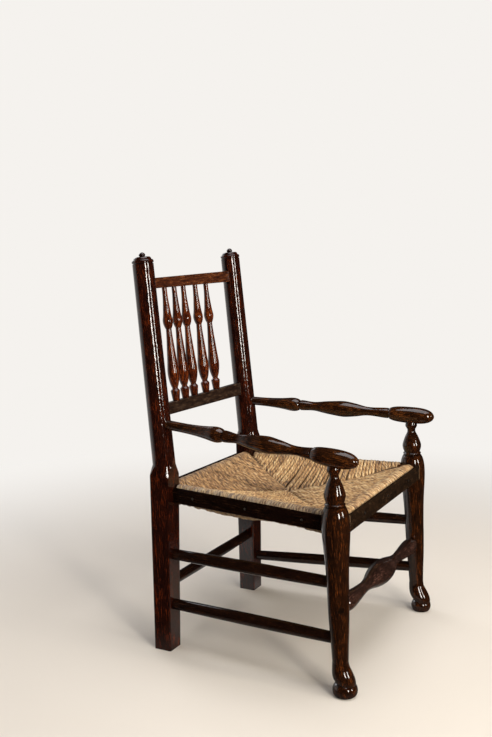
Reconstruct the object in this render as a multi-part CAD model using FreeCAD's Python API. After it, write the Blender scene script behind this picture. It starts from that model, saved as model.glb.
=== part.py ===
import FreeCAD, Part

import math
import os

# A child's spindle-back armchair with a rush seat. Millimetres, +Z up, the sitter looks along -Y.
# Right and left are the sitter's own. The chair is laid out round the middle of its back posts'
# feet, and at the end everything is moved so that the origin is under the middle of its box.

V = FreeCAD.Vector
SIDES = {"right": -1, "left": 1}

# Clearances
JOINT_FIT = 0.05
SOCKET_END_GAP = 0.5
SHOULDER_GAP = 0.08
RUSH_GAP = 0.3
CUT_TOLERANCE = 0.001

# Back posts: square below a turned shoulder, round and raked back above it
POST_FOOT_X = 149.7
POST_SHOULDER_X = 146.8
POST_TOP_X = 144.5
POST_SHOULDER_Y = -4.6
POST_TOP_Y = 23.4
POST_SHOULDER_Z = 316.0
POST_TOP_Z = 646.0
POST_FOOT_SIDE = 32.2
POST_SHOULDER_SIDE = 36.4
POST_CORNER_RADIUS = 2.6
POST_ROUND_DIA = 38.2
POST_TOP_DIA = 34.5
SHOULDER_CONE_LENGTH = 15.0
SHOULDER_CONE_DIA = 47.6
POST_RIM_HEIGHT = 6.0
POST_CAP_HEIGHT = 5.0
POST_KNOB_DIA = 10.7
POST_KNOB_HEIGHT = 6.6

# Back rails, centred on the raked posts
BACK_RAIL_THICKNESS = 12.0
BACK_RAIL_SETBACK = 2.0
BACK_RAIL_EDGE_RADIUS = 1.2
TOP_RAIL_BOTTOM = {"right": 604.0, "left": 601.5}
TOP_RAIL_TOP = {"right": 621.0, "left": 622.0}
LOWER_RAIL_BOTTOM = {"right": 394.5, "left": 387.0}
LOWER_RAIL_TOP = {"right": 413.5, "left": 410.5}
BACK_RAIL_TENON_HEIGHT = 13.0
BACK_RAIL_TENON_THICKNESS = 8.0

# Spindles, unevenly spaced as the chair has them
SPINDLE_X = (-87.0, -57.0, -28.0, 11.0, 48.0)
SPINDLE_MAX_DIA = 19.8
SPINDLE_BULB_DIA = 17.3
SPINDLE_NECK_DIA = 9.6
SPINDLE_FOOT_DIA = 16.0
SPINDLE_TOP_DIA = 8.6
SPINDLE_TENON_DIA = 7.0
SPINDLE_TENON_LENGTH = 8.0

# Front legs, turned in one with the arm supports, on an axis that leans forward to the ankle
LEG_TOP_X = 176.7
LEG_TOP_Y = -319.8
LEG_ANKLE_X = 180.0
LEG_ANKLE_Y = -328.7
LEG_ANKLE_Z = 52.0
LEG_ANKLE_DIA = 24.6
LEG_MAX_DIA = 43.0
LEG_RING_DIA = 31.4
LEG_RING_Z = 293.4
SUPPORT_VASE_DIA = 32.8
SUPPORT_NECK_DIA = 13.9
SUPPORT_COLLAR_DIA = 20.4
SUPPORT_TENON_DIA = 10.0
FOOT_PAD_DIA = {"right": 38.2, "left": 35.0}
FOOT_PAD_Y = {"right": -335.2, "left": -338.0}
FOOT_PAD_X = 179.0
FOOT_PAD_HEIGHT = 21.0
FOOT_INSTEP_DIA = 32.8
FOOT_INSTEP_AHEAD = 1.4
FOOT_REST_DIA = 27.0

# Arms, turned, from the posts to the supports. Stations are distances from the post's axis.
ARM_Z_AT_POST = {"right": 384.6, "left": 375.0}
ARM_Z_AT_TIP = {"right": 359.2, "left": 360.0}
ARM_TIP_Y = -361.0
ARM_TIP_X = 181.0
ARM_SHANK_DIA = 16.2
ARM_BEAD_DIA = 25.0
ARM_SWELL_DIA = {"right": 26.6, "left": 28.8}
ARM_NECK_DIA = {"right": 14.2, "left": 15.4}
ARM_CLUB_DIA = {"right": 28.0, "left": 29.2}
ARM_BEAD_STATION = {"right": 120.4, "left": 105.0}
ARM_SWELL_STATION = {"right": 212.5, "left": 199.5}
ARM_NECK_STATION = {"right": 261.0, "left": 248.5}
ARM_CLUB_STATION = {"right": 292.5, "left": 286.5}
ARM_TENON_DIA = 12.0

# Seat frame, hidden in the rush. Insets count inwards from the outer face of the edging.
SEAT_Z = {
    ("right", "back"): 266.5, ("left", "back"): 261.5,
    ("right", "front"): 261.5, ("left", "front"): 261.5,
}
SEAT_HEIGHT = 262.0
EDGING_PROUD_OF_POST = 1.3
EDGING_PROUD_OF_LEG = 4.4
EDGING_BACK_Y = 10.0
EDGING_AHEAD_OF_LEG = 17.0
EDGING_THICKNESS = 5.0
EDGING_EDGE_RADIUS = 1.3
SIDE_EDGING_HEIGHT_BACK = 26.0
SIDE_EDGING_HEIGHT_FRONT = 22.6
CROSS_EDGING_HEIGHT = 26.0
RUSH_WRAP = 4.2
SEAT_RAIL_THICKNESS = 14.0
SEAT_RAIL_HEIGHT = 24.0
SEAT_RAIL_EDGE_RADIUS = 4.0
SEAT_TENON_DIA = 9.0
SIDE_SEAT_TENON_LENGTH = 10.0
SEAT_TENON_LEG_FACE = 0.85

# Rush: the height of its skin above (+) or below (-) the frame, from the edge to the middle
RUSH_CREST = 14.5
RUSH_MIDDLE_TOP = -8.0
RUSH_BELLY = -36.0

# Edging nails
NAIL_PITCH = 103.0
NAILS_PER_STRIP = 3
NAIL_SHANK_DIA = 1.8
NAIL_LENGTH = 14.0
NAIL_HEAD_DIA = 4.4
NAIL_HEAD_HEIGHT = 0.9

# Stretchers
UPPER_STRETCHER_BACK_Z = {"right": 164.8, "left": 163.0}
UPPER_STRETCHER_FRONT_Z = {"right": 173.0, "left": 168.0}
LOWER_STRETCHER_BACK_Z = {"right": 78.2, "left": 66.5}
LOWER_STRETCHER_FRONT_Z = {"right": 87.7, "left": 80.4}
SIDE_STRETCHER_END_DIA = 17.2
SIDE_STRETCHER_MID_DIA = 19.8
BACK_STRETCHER_Z = 110.0
BACK_STRETCHER_END_DIA = 16.6
BACK_STRETCHER_MID_DIA = 19.0
FRONT_STRETCHER_Z = {"right": 133.0, "left": 128.0}
FRONT_BULB_DIA = 38.0
FRONT_NECK_DIA = 17.6
FRONT_CLUB_DIA = 26.8
FRONT_END_DIA = 17.0
STRETCHER_TENON_DIA = 11.0

# Plug let into the outer face of one front leg. Its inner end is counted from the leg's axis.
PLUG_SIDE = "right"
PLUG_DIA = 10.6
PLUG_INNER_END = 8.6
PLUG_Z = 138.0
PLUG_TURN = 36.0
PLUG_PROUD = 0.4


def lerp(a, b, t):
    return a + (b - a) * t


X, Y, Z = 0, 1, 2


def point_at(start, end, axis, value):
    """The point of the line start-end where the coordinate on the given axis has this value."""
    return start + (end - start) * ((value - start[axis]) / (end[axis] - start[axis]))


def rod(start, end, dia):
    return Part.makeCylinder(dia / 2, (end - start).Length, start, end - start)


def turned(start, end, runs, grow=0.0):
    """Turn a solid round the line start-end.

    Each run is a row of (station, radius) points, stations counted from start. A run goes on from
    the last point of the run before it, straight to one new point or in one smooth curve through
    several, and two runs meet in a crisp corner.
    """
    edges = []
    first = last = None
    for run in runs:
        points = [V(max(radius + grow, 0.0), 0, station) for station, radius in run]
        if last is None:
            first = points[0]
        else:
            points.insert(0, last)
        if len(points) == 2:
            edges.append(Part.LineSegment(points[0], points[1]).toShape())
        elif len(points) > 2:
            curve = Part.BSplineCurve()
            curve.interpolate(points)
            edges.append(curve.toShape())
        last = points[-1]
    axis_first = V(0, 0, first.z)
    axis_last = V(0, 0, last.z)
    if first.x > 1e-6:
        edges.insert(0, Part.LineSegment(axis_first, first).toShape())
    if last.x > 1e-6:
        edges.append(Part.LineSegment(last, axis_last).toShape())
    edges.append(Part.LineSegment(axis_last, axis_first).toShape())
    solid = Part.Face(Part.Wire(Part.__sortEdges__(edges))).revolve(V(0, 0, 0), V(0, 0, 1), 360)
    solid.Placement = FreeCAD.Placement(start, FreeCAD.Rotation(V(0, 0, 1), end - start))
    return largest_solid(solid)


def largest_solid(shape):
    return max(shape.Solids, key=lambda solid: solid.Volume)


def flat_face(*points):
    return Part.Face(Part.makePolygon(list(points) + [points[0]]))


def tapered_bar(start, end, across, up, start_size, end_size, radius):
    """A straight bar with four rounded long edges.

    Each size is (width along across, height along up). The two ends may differ in size.
    """
    if across.cross(up).dot(end - start) > 0:
        up = up * -1  # keeps the faces' outer sides outwards
    rings = []
    for centre, (width, height) in ((start, start_size), (end, end_size)):
        rings.append([centre + across * (sx * width / 2) + up * (sy * height / 2)
                      for sx, sy in ((1, 1), (-1, 1), (-1, -1), (1, -1))])
    faces = [flat_face(*ring) for ring in rings]
    for index in range(4):
        following = (index + 1) % 4
        faces.append(flat_face(rings[0][index], rings[0][following], rings[1][following], rings[1][index]))
    solid = Part.makeSolid(Part.makeShell(faces))
    along = (end - start).normalize()
    long_edges = [edge for edge in solid.Edges
                  if abs((edge.Vertexes[1].Point - edge.Vertexes[0].Point).normalize().dot(along)) > 0.7]
    return solid.makeFillet(radius, long_edges)


def board(start, end, up, thickness, start_height, end_height, radius):
    """A straight board with eased long edges, which may be deeper at one end than at the other."""
    across = (end - start).cross(up).normalize()
    return tapered_bar(start, end, across, up, (thickness, start_height), (thickness, end_height), radius)


def cut_away(body, tool):
    return largest_solid(body.cut([tool], CUT_TOLERANCE))


def fit_between(body, neighbours):
    """Cut a member back to its neighbours' surfaces and keep the stretch between them."""
    for neighbour in neighbours:
        body = cut_away(body, neighbour)
    return body


def add_tenon(body, start, end, dia):
    return largest_solid(body.fuse(rod(start, end, dia)))


def cut_socket(body, mouth, end, dia):
    """Drill from the mouth side towards end, with room round the tenon and past its end."""
    past_end = end + (end - mouth).normalize() * SOCKET_END_GAP
    return cut_away(body, rod(mouth, past_end, dia + 2 * JOINT_FIT))


# Reference points that the pieces share

def post_foot(side):
    return V(SIDES[side] * POST_FOOT_X, 0, 0)


def post_shoulder(side):
    return V(SIDES[side] * POST_SHOULDER_X, POST_SHOULDER_Y, POST_SHOULDER_Z)


def post_top(side):
    return V(SIDES[side] * POST_TOP_X, POST_TOP_Y, POST_TOP_Z)


def post_axis(side, z):
    if z < POST_SHOULDER_Z:
        return point_at(post_foot(side), post_shoulder(side), Z, z)
    return point_at(post_shoulder(side), post_top(side), Z, z)


def leg_ankle(side):
    return V(SIDES[side] * LEG_ANKLE_X, LEG_ANKLE_Y, LEG_ANKLE_Z)


def arm_start(side):
    return post_axis(side, ARM_Z_AT_POST[side])


def arm_tip(side):
    return V(SIDES[side] * ARM_TIP_X, ARM_TIP_Y, ARM_Z_AT_TIP[side])


def leg_top(side):
    """Where the leg's axis meets the arm's axis."""
    on_arm = point_at(arm_start(side), arm_tip(side), Y, LEG_TOP_Y)
    return V(SIDES[side] * LEG_TOP_X, LEG_TOP_Y, on_arm.z)


def leg_axis(side, z):
    return point_at(leg_ankle(side), leg_top(side), Z, z)


def back_up():
    """The unit vector up the rake of the back, between the posts."""
    rise = post_top("left") - post_shoulder("left")
    return V(0, rise.y, rise.z).normalize()


def back_point(x, z):
    """A point of the back rails' middle plane."""
    rake = point_at(post_shoulder("left"), post_top("left"), Z, z)
    return V(x, rake.y + BACK_RAIL_SETBACK, z)


# Posts and legs before any socket is cut in them

def post_square(side, grow=0.0):
    """The lower, square part of a back post, run on a little past the shoulder."""
    foot, shoulder = post_foot(side), post_shoulder(side)
    past_shoulder = foot + (shoulder - foot) * (1 + POST_CORNER_RADIUS / POST_SHOULDER_Z)
    low, high = POST_FOOT_SIDE + 2 * grow, POST_SHOULDER_SIDE + 2 * grow
    return tapered_bar(foot, past_shoulder, V(1, 0, 0), V(0, 1, 0), (low, low), (high, high),
                       POST_CORNER_RADIUS + grow)


def post_shaft(side, grow=0.0):
    """The upper, turned part of a back post, up to the knob on its cap."""
    shoulder, top = post_shoulder(side), post_top(side)
    bottom_radius, top_radius = POST_ROUND_DIA / 2, POST_TOP_DIA / 2
    rim = (top - shoulder).Length
    cap = rim + POST_RIM_HEIGHT
    knob = cap + POST_CAP_HEIGHT
    return turned(shoulder, top, (
        ((-2.0, bottom_radius - 0.2),),
        ((rim - 1.0, top_radius),),
        ((rim - 0.6, top_radius - 1.1),),
        ((rim + 0.2, top_radius - 1.1),),
        ((rim + 0.6, top_radius + 0.1), (rim + 3.0, top_radius + 0.5), (cap - 0.6, top_radius - 0.6)),
        ((cap, top_radius - 2.6),),
        ((cap + 2.2, top_radius - 3.2), (knob - 0.8, top_radius - 5.2)),
        ((knob, POST_KNOB_DIA / 2 - 1.2),),
        ((knob + 0.35 * POST_KNOB_HEIGHT, POST_KNOB_DIA / 2),
         (knob + 0.8 * POST_KNOB_HEIGHT, 0.35 * POST_KNOB_DIA), (knob + POST_KNOB_HEIGHT, 0.0)),
    ), grow)


def bare_post(side):
    """A whole back post: its square part is cut to a cone at the shoulder, where the round one starts."""
    foot, shoulder = post_foot(side), post_shoulder(side)
    length = (shoulder - foot).Length
    slope = (SHOULDER_CONE_DIA - POST_ROUND_DIA) / 2 / SHOULDER_CONE_LENGTH
    clear_of_square = POST_SHOULDER_SIDE
    cone_start = length - (clear_of_square - POST_ROUND_DIA / 2) / slope
    envelope = turned(foot, shoulder, (
        ((-POST_CORNER_RADIUS, clear_of_square),),
        ((cone_start, clear_of_square),),
        ((length, POST_ROUND_DIA / 2 + JOINT_FIT),),
    ))
    return largest_solid(post_square(side).common(envelope).fuse(post_shaft(side)))


def bare_leg(side, grow=0.0):
    ankle, top = leg_ankle(side), leg_top(side)
    ring = LEG_RING_Z - LEG_ANKLE_Z
    maximum = LEG_MAX_DIA / 2
    ankle_radius = LEG_ANKLE_DIA / 2
    groove = LEG_RING_DIA / 2 - 1.9
    vase = SUPPORT_VASE_DIA / 2
    neck = SUPPORT_NECK_DIA / 2
    collar = SUPPORT_COLLAR_DIA / 2
    under_arm = (top - ankle).Length - ARM_CLUB_DIA[side] / 2
    column = turned(ankle, top, (
        ((-6.0, ankle_radius - 1.5),),
        ((0, ankle_radius),),
        ((0.10 * ring, ankle_radius + 1.1), (0.24 * ring, lerp(ankle_radius, maximum, 0.32)),
         (0.41 * ring, lerp(ankle_radius, maximum, 0.44)), (0.57 * ring, lerp(ankle_radius, maximum, 0.54)),
         (0.67 * ring, lerp(ankle_radius, maximum, 0.68)), (0.78 * ring, lerp(ankle_radius, maximum, 0.90)),
         (0.865 * ring, maximum), (0.925 * ring, maximum - 0.9), (0.962 * ring, maximum - 2.9),
         (ring - 3.6, maximum - 5.7)),
        ((ring - 2.8, groove),),
        ((ring - 1.9, groove),),
        ((ring, LEG_RING_DIA / 2), (ring + 2.0, groove)),
        ((ring + 2.9, groove),),
        ((ring + 5.2, vase - 1.8), (ring + 14.0, vase), (ring + 22.5, vase - 2.1),
         (under_arm - 21.5, lerp(neck, vase, 0.36)), (under_arm - 15.0, neck + 0.3),
         (under_arm - 12.0, neck), (under_arm - 9.4, neck + 0.4)),
        ((under_arm - 8.6, neck + 1.5),),
        ((under_arm - 7.4, neck + 1.5),),
        ((under_arm - 4.6, collar), (under_arm - 1.0, collar - 0.1), (under_arm + 2.4, collar - 0.9)),
        ((under_arm + 6.0, collar - 1.2),),
    ), grow)
    sx = SIDES[side]
    pad_centre = V(sx * FOOT_PAD_X, FOOT_PAD_Y[side], 0)
    pad_radius = FOOT_PAD_DIA[side] / 2
    pad = turned(pad_centre, pad_centre + V(0, 0, FOOT_PAD_HEIGHT), (
        ((0, FOOT_REST_DIA / 2),),
        ((0.16 * FOOT_PAD_HEIGHT, pad_radius - 1.4), (0.46 * FOOT_PAD_HEIGHT, pad_radius),
         (0.76 * FOOT_PAD_HEIGHT, pad_radius - 1.6), (0.95 * FOOT_PAD_HEIGHT, pad_radius - 5.6)),
    ), grow)
    instep = FOOT_INSTEP_DIA / 2
    rise = LEG_ANKLE_Z - FOOT_PAD_HEIGHT
    # The instep's centre runs from the ankle to a little ahead of the pad's centre
    levels = ((1.0, ankle_radius + 0.2, 0.0), (0.78, ankle_radius + 1.1, 0.06), (0.50, instep - 1.0, 0.30),
              (0.24, instep, 0.62), (0.0, instep - 1.2, 0.97), (-0.32, instep - 3.6, 1.0))
    circles = []
    for share, radius, forward in levels:
        centre = V(lerp(ankle.x, pad_centre.x, forward),
                   lerp(ankle.y, pad_centre.y - FOOT_INSTEP_AHEAD, forward),
                   FOOT_PAD_HEIGHT + share * rise)
        circles.append(Part.Wire(Part.makeCircle(radius + grow, centre, V(0, 0, 1))))
    foot = Part.makeLoft(circles, True, False)
    return largest_solid(column.fuse(foot).fuse(pad))


# Seat layout. An inset counts inwards from the outer face of the edging.

RUSH_INSET = EDGING_THICKNESS + RUSH_GAP
RAIL_INSET = RUSH_INSET + RUSH_WRAP + SEAT_RAIL_THICKNESS / 2


def edge_line_y(end, inset):
    if end == "back":
        return EDGING_BACK_Y - inset
    return leg_axis("left", SEAT_HEIGHT).y - EDGING_AHEAD_OF_LEG + inset


def side_line_x(y, inset):
    """Half the seat's width at y."""
    back = post_axis("left", SEAT_HEIGHT) + V(EDGING_PROUD_OF_POST, 0, 0)
    front = leg_axis("left", SEAT_HEIGHT) + V(EDGING_PROUD_OF_LEG, 0, 0)
    return point_at(back, front, Y, y).x - inset


def seat_corner(side, end, inset):
    y = edge_line_y(end, inset)
    return V(SIDES[side] * side_line_x(y, inset), y, SEAT_Z[side, end])


def seat_lines(inset):
    """The four lines round the seat at one inset, from corner to corner."""
    lines = {end: (seat_corner("right", end, inset), seat_corner("left", end, inset))
             for end in ("back", "front")}
    for side in SIDES:
        lines[side] = (seat_corner(side, "back", inset), seat_corner(side, "front", inset))
    return lines


def reach_uprights(start, end, upright_x):
    """A cross line lengthened to the two uprights' axes."""
    return point_at(start, end, X, -upright_x), point_at(start, end, X, upright_x)


def post_front_y():
    return post_axis("left", SEAT_HEIGHT).y - POST_SHOULDER_SIDE / 2


def seat_rail_lines():
    """The seat rails' middle lines. The side rails start at the posts' front faces."""
    lines = seat_lines(RAIL_INSET)
    for side in SIDES:
        lines[side] = (point_at(*lines[side], Y, post_front_y() + 2 * SHOULDER_GAP), lines[side][1])
    return lines


def seat_tenon_lines():
    """Where the seat rails' round tenons end. The side rails' are short and stop clear of the others.

    All but the front rail's are set towards the outside of the seat, just inside the rail's face.
    """
    lines = seat_lines(RAIL_INSET)
    post, leg = post_axis("left", SEAT_HEIGHT), leg_axis("left", SEAT_HEIGHT)
    shift = (SEAT_RAIL_THICKNESS - SEAT_TENON_DIA) / 2 - JOINT_FIT
    tenons = {
        "back": [point + V(0, shift, 0) for point in reach_uprights(*lines["back"], post.x)],
        "front": list(reach_uprights(*lines["front"], leg.x)),
    }
    leg_face = leg.y + SEAT_TENON_LEG_FACE * LEG_MAX_DIA / 2
    for side, sign in SIDES.items():
        tenons[side] = [point_at(*lines[side], Y, y) + V(sign * shift, 0, 0)
                        for y in (post_front_y() + SIDE_SEAT_TENON_LENGTH,
                                  leg_face - SIDE_SEAT_TENON_LENGTH)]
    return tenons


def seat_bar(start, end, gap=0.0):
    """A seat rail's bar, or with a gap the room that the rush leaves round it."""
    along = (end - start).normalize()
    up = (V(0, 0, 1) - along * along.z).normalize()
    height = SEAT_RAIL_HEIGHT + 2 * gap
    return board(start - along * gap, end + along * gap, up, SEAT_RAIL_THICKNESS + 2 * gap, height, height,
                 SEAT_RAIL_EDGE_RADIUS + gap)


def rush_ring(spread, rise):
    """One four-cornered ring of the rush's skin: spread 1 is its outer edge, 0 its middle."""
    corners = [seat_corner(side, end, RUSH_INSET) for side, end in
               (("right", "back"), ("left", "back"), ("left", "front"), ("right", "front"))]
    middle = (corners[0] + corners[1] + corners[2] + corners[3]) * 0.25
    return [middle + (corner - middle) * spread + V(0, 0, rise) for corner in corners]


def skin_solid(rings):
    """The closed solid whose skin runs from ring to ring, and to the middle of the end rings."""
    faces = []
    for upper, lower in zip(rings, rings[1:]):
        for index in range(len(upper)):
            following = (index + 1) % len(upper)
            faces.append(flat_face(upper[index], upper[following], lower[index]))
            faces.append(flat_face(upper[following], lower[following], lower[index]))
    for ring in (rings[0], rings[-1]):
        middle = sum(ring[1:], ring[0]) * (1 / len(ring))
        for index in range(len(ring)):
            faces.append(flat_face(ring[index], ring[(index + 1) % len(ring)], middle))
    return Part.makeSolid(Part.makeShell(faces))


def rush_seat():
    """Rush wound over the rails: crowned over each rail, dished on top and full underneath.

    Each ring is (spread, rise). The four panels meet in seams on the diagonals.
    """
    bottom = -RUSH_CREST
    rings = (
        (0.03, RUSH_MIDDLE_TOP), (0.30, RUSH_MIDDLE_TOP + 2.6), (0.55, RUSH_MIDDLE_TOP + 8.4),
        (0.74, RUSH_MIDDLE_TOP + 14.6), (0.86, RUSH_CREST - 3.6), (0.92, RUSH_CREST - 0.8),
        (0.955, RUSH_CREST), (0.985, RUSH_CREST - 2.4), (1.0, RUSH_CREST - 7.0),
        (1.0, bottom + 7.0), (0.98, bottom + 1.6), (0.94, bottom - 0.6),
        (0.85, lerp(bottom, RUSH_BELLY, 0.38)), (0.72, lerp(bottom, RUSH_BELLY, 0.72)),
        (0.55, lerp(bottom, RUSH_BELLY, 0.90)), (0.30, RUSH_BELLY + 0.4), (0.03, RUSH_BELLY),
    )
    return skin_solid([rush_ring(spread, rise) for spread, rise in rings])


def edging_strips(coping):
    """Thin slips of wood nailed on outside the rush, coped to the posts and legs."""
    strips = {}
    for name, (start, end) in seat_lines(EDGING_THICKNESS / 2).items():
        heights = (SIDE_EDGING_HEIGHT_BACK, SIDE_EDGING_HEIGHT_FRONT) if name in SIDES else (
            CROSS_EDGING_HEIGHT, CROSS_EDGING_HEIGHT)
        overrun = (end - start).normalize() * LEG_MAX_DIA
        strip = board(start - overrun, end + overrun, V(0, 0, 1), EDGING_THICKNESS, *heights,
                      EDGING_EDGE_RADIUS)
        strips[name] = fit_between(strip, coping)
    return strips


def nail_places():
    """For every edging nail: which strip, the middle of its head, and the way it faces."""
    places = []
    for name, (start, end) in seat_lines(0).items():
        along = (end - start).normalize()
        outward = along.cross(V(0, 0, 1)).normalize()
        middle = (start + end) * 0.5
        if outward.dot(middle - V(0, edge_line_y("front", 0) / 2, middle.z)) < 0:
            outward = outward * -1
        for index in range(NAILS_PER_STRIP):
            offset = (index - (NAILS_PER_STRIP - 1) / 2) * NAIL_PITCH
            places.append((name, middle + along * offset, outward))
    return places


def nail(head, outward):
    head_radius = NAIL_HEAD_DIA / 2
    return turned(head, head + outward, (
        ((-NAIL_LENGTH, 0.0),),
        ((-NAIL_LENGTH + 2.0, NAIL_SHANK_DIA / 2),),
        ((JOINT_FIT, NAIL_SHANK_DIA / 2),),
        ((JOINT_FIT, head_radius),),
        ((0.4 * NAIL_HEAD_HEIGHT, head_radius),),
        ((0.8 * NAIL_HEAD_HEIGHT, 0.6 * head_radius), (NAIL_HEAD_HEIGHT, 0.0)),
    ))


# Back

def back_rail(bottoms, tops, posts):
    """A board between the posts, tenoned into both, its two ends of different heights."""
    up = back_up()
    centres, heights = [], []
    for side, sign in SIDES.items():
        middle = (bottoms[side] + tops[side]) / 2
        centres.append(back_point(post_axis(side, middle).x, middle))
        heights.append(tops[side] - bottoms[side])
    along = (centres[1] - centres[0]).normalize()
    square_up = (up - along * up.dot(along)).normalize()
    rail = fit_between(board(centres[0], centres[1], square_up, BACK_RAIL_THICKNESS, heights[0],
                             heights[1], BACK_RAIL_EDGE_RADIUS), posts)
    tenon = board(centres[0], centres[1], square_up, BACK_RAIL_TENON_THICKNESS, BACK_RAIL_TENON_HEIGHT,
                  BACK_RAIL_TENON_HEIGHT, BACK_RAIL_EDGE_RADIUS)
    gap = 2 * JOINT_FIT
    mortise = board(centres[0] - along * SOCKET_END_GAP, centres[1] + along * SOCKET_END_GAP, square_up,
                    BACK_RAIL_TENON_THICKNESS + gap, BACK_RAIL_TENON_HEIGHT + gap,
                    BACK_RAIL_TENON_HEIGHT + gap, BACK_RAIL_EDGE_RADIUS)
    return largest_solid(rail.fuse(tenon)), mortise


def rail_edge_z(edges, x):
    """Height of a rail's straight edge at x."""
    right, left = (post_axis(side, edges[side]) for side in ("right", "left"))
    return lerp(edges["right"], edges["left"], (x - right.x) / (left.x - right.x))


def spindle(x):
    """A turned spindle between the two back rails, with a round tenon at each end."""
    foot = back_point(x, rail_edge_z(LOWER_RAIL_TOP, x) + SHOULDER_GAP)
    head = back_point(x, rail_edge_z(TOP_RAIL_BOTTOM, x) - SHOULDER_GAP)
    length = (head - foot).Length
    neck = SPINDLE_NECK_DIA / 2
    widest = SPINDLE_MAX_DIA / 2
    bulb = SPINDLE_BULB_DIA / 2
    collar = SPINDLE_FOOT_DIA / 2
    top = SPINDLE_TOP_DIA / 2
    body = turned(foot, head, (
        ((0, collar - 2.0),),
        ((0.085 * length, collar),),
        ((0.092 * length, collar - 0.8), (0.104 * length, neck + 0.3)),
        ((0.112 * length, neck),),
        ((0.14 * length, neck + 2.1), (0.185 * length, widest - 1.1), (0.243 * length, widest),
         (0.33 * length, widest - 1.2), (0.44 * length, lerp(neck, widest, 0.45)),
         (0.55 * length, neck + 0.7), (0.635 * length, neck)),
        ((0.655 * length, neck + 1.8), (0.68 * length, bulb - 0.6), (0.705 * length, bulb),
         (0.745 * length, bulb - 1.1), (0.81 * length, lerp(top, bulb, 0.42)),
         (0.89 * length, top + 0.5), (length, top)),
    ))
    along = (head - foot).normalize()
    tenon_ends = (foot - along * SPINDLE_TENON_LENGTH, head + along * SPINDLE_TENON_LENGTH)
    return body, foot, head, tenon_ends


# Arms and stretchers

def arm_runs(side, length):
    bead, swell = ARM_BEAD_STATION[side], ARM_SWELL_STATION[side]
    neck, club = ARM_NECK_STATION[side], ARM_CLUB_STATION[side]
    shank = ARM_SHANK_DIA / 2
    bead_radius = ARM_BEAD_DIA / 2
    swell_radius = ARM_SWELL_DIA[side] / 2
    neck_radius = ARM_NECK_DIA[side] / 2
    club_radius = ARM_CLUB_DIA[side] / 2
    return (
        ((0, shank),),
        ((bead - 62, shank), (bead - 38, shank + 1.2), (bead - 19, lerp(shank, bead_radius, 0.72)),
         (bead - 4, bead_radius), (bead + 4, bead_radius - 1.8), (bead + 7.6, shank + 0.3)),
        ((bead + 9.4, shank + 0.3),),
        ((bead + 10.0, shank + 1.4),),
        ((bead + 14, shank + 1.3), (bead + 34, neck_radius + 0.4),
         (swell - 42, lerp(neck_radius, swell_radius, 0.42)), (swell - 20, swell_radius - 1.2),
         (swell, swell_radius), (swell + 13, swell_radius - 1.5),
         (swell + 25, lerp(neck_radius, swell_radius, 0.48)), (swell + 37, neck_radius + 0.8),
         (neck, neck_radius), (neck + 12, neck_radius + 0.6), (club - 6, shank + 1.2)),
        ((club - 5.2, shank + 0.2),),
        ((club - 3.6, shank + 0.2),),
        ((club - 3.0, shank + 1.8),),
        ((club + 3, lerp(shank, club_radius, 0.62)), (club + 13, club_radius - 0.9),
         (length - 42, club_radius), (length - 22, club_radius - 0.8), (length - 10, club_radius - 3.6),
         (length - 3, club_radius - 8.2), (length, 0.0)),
    )


def bare_arm(side, grow=0.0):
    start, tip = arm_start(side), arm_tip(side)
    return turned(start, tip, arm_runs(side, (tip - start).Length), grow)


def plain_stretcher(start, end, end_dia, middle_dia):
    """A slightly swelled round bar."""
    length = (end - start).Length
    quarter = lerp(end_dia, middle_dia, 0.72) / 2
    return turned(start, end, (
        ((0, end_dia / 2),),
        ((0.25 * length, quarter), (0.5 * length, middle_dia / 2), (0.75 * length, quarter),
         (length, end_dia / 2)),
    ))


def front_stretcher_body(start, end):
    """A central bulb between two necks, with a club next to each leg."""
    length = (end - start).Length
    half = length / 2
    bulb, neck = FRONT_BULB_DIA / 2, FRONT_NECK_DIA / 2
    club, tip = FRONT_CLUB_DIA / 2, FRONT_END_DIA / 2
    # Stations as shares of the half length, from the middle to the leg's axis
    half_profile = ((0.0, bulb), (0.09, bulb - 0.9), (0.20, lerp(neck, bulb, 0.60)),
                    (0.31, lerp(neck, bulb, 0.18)), (0.415, neck), (0.50, neck + 0.6),
                    (0.64, lerp(neck, club, 0.60)), (0.79, club), (0.845, club - 0.7), (0.885, tip + 1.2))
    right_half = [(half * (1 - share), radius) for share, radius in reversed(half_profile)]
    left_half = [(half * (1 + share), radius) for share, radius in half_profile[1:]]
    return turned(start, end, (
        ((0, tip - 0.4),),
        ((half * 0.105, tip - 0.4),),
        (right_half[0],),
        tuple(right_half[1:] + left_half[:-1]) + (left_half[-1],),
        ((length - half * 0.105, tip - 0.4),),
        ((length, tip - 0.4),),
    ))


def stretcher_lines():
    lines = {}
    levels = (("upper", UPPER_STRETCHER_BACK_Z, UPPER_STRETCHER_FRONT_Z),
              ("lower", LOWER_STRETCHER_BACK_Z, LOWER_STRETCHER_FRONT_Z))
    for level, back_z, front_z in levels:
        for side in SIDES:
            lines["side_stretcher_%s_%s" % (level, side)] = (
                post_axis(side, back_z[side]), leg_axis(side, front_z[side]))
    lines["back_stretcher"] = (post_axis("right", BACK_STRETCHER_Z), post_axis("left", BACK_STRETCHER_Z))
    lines["front_stretcher"] = (leg_axis("right", FRONT_STRETCHER_Z["right"]),
                                leg_axis("left", FRONT_STRETCHER_Z["left"]))
    return lines


def stretcher_body(name, start, end):
    if name == "front_stretcher":
        return front_stretcher_body(start, end)
    if name == "back_stretcher":
        return plain_stretcher(start, end, BACK_STRETCHER_END_DIA, BACK_STRETCHER_MID_DIA)
    return plain_stretcher(start, end, SIDE_STRETCHER_END_DIA, SIDE_STRETCHER_MID_DIA)


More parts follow.
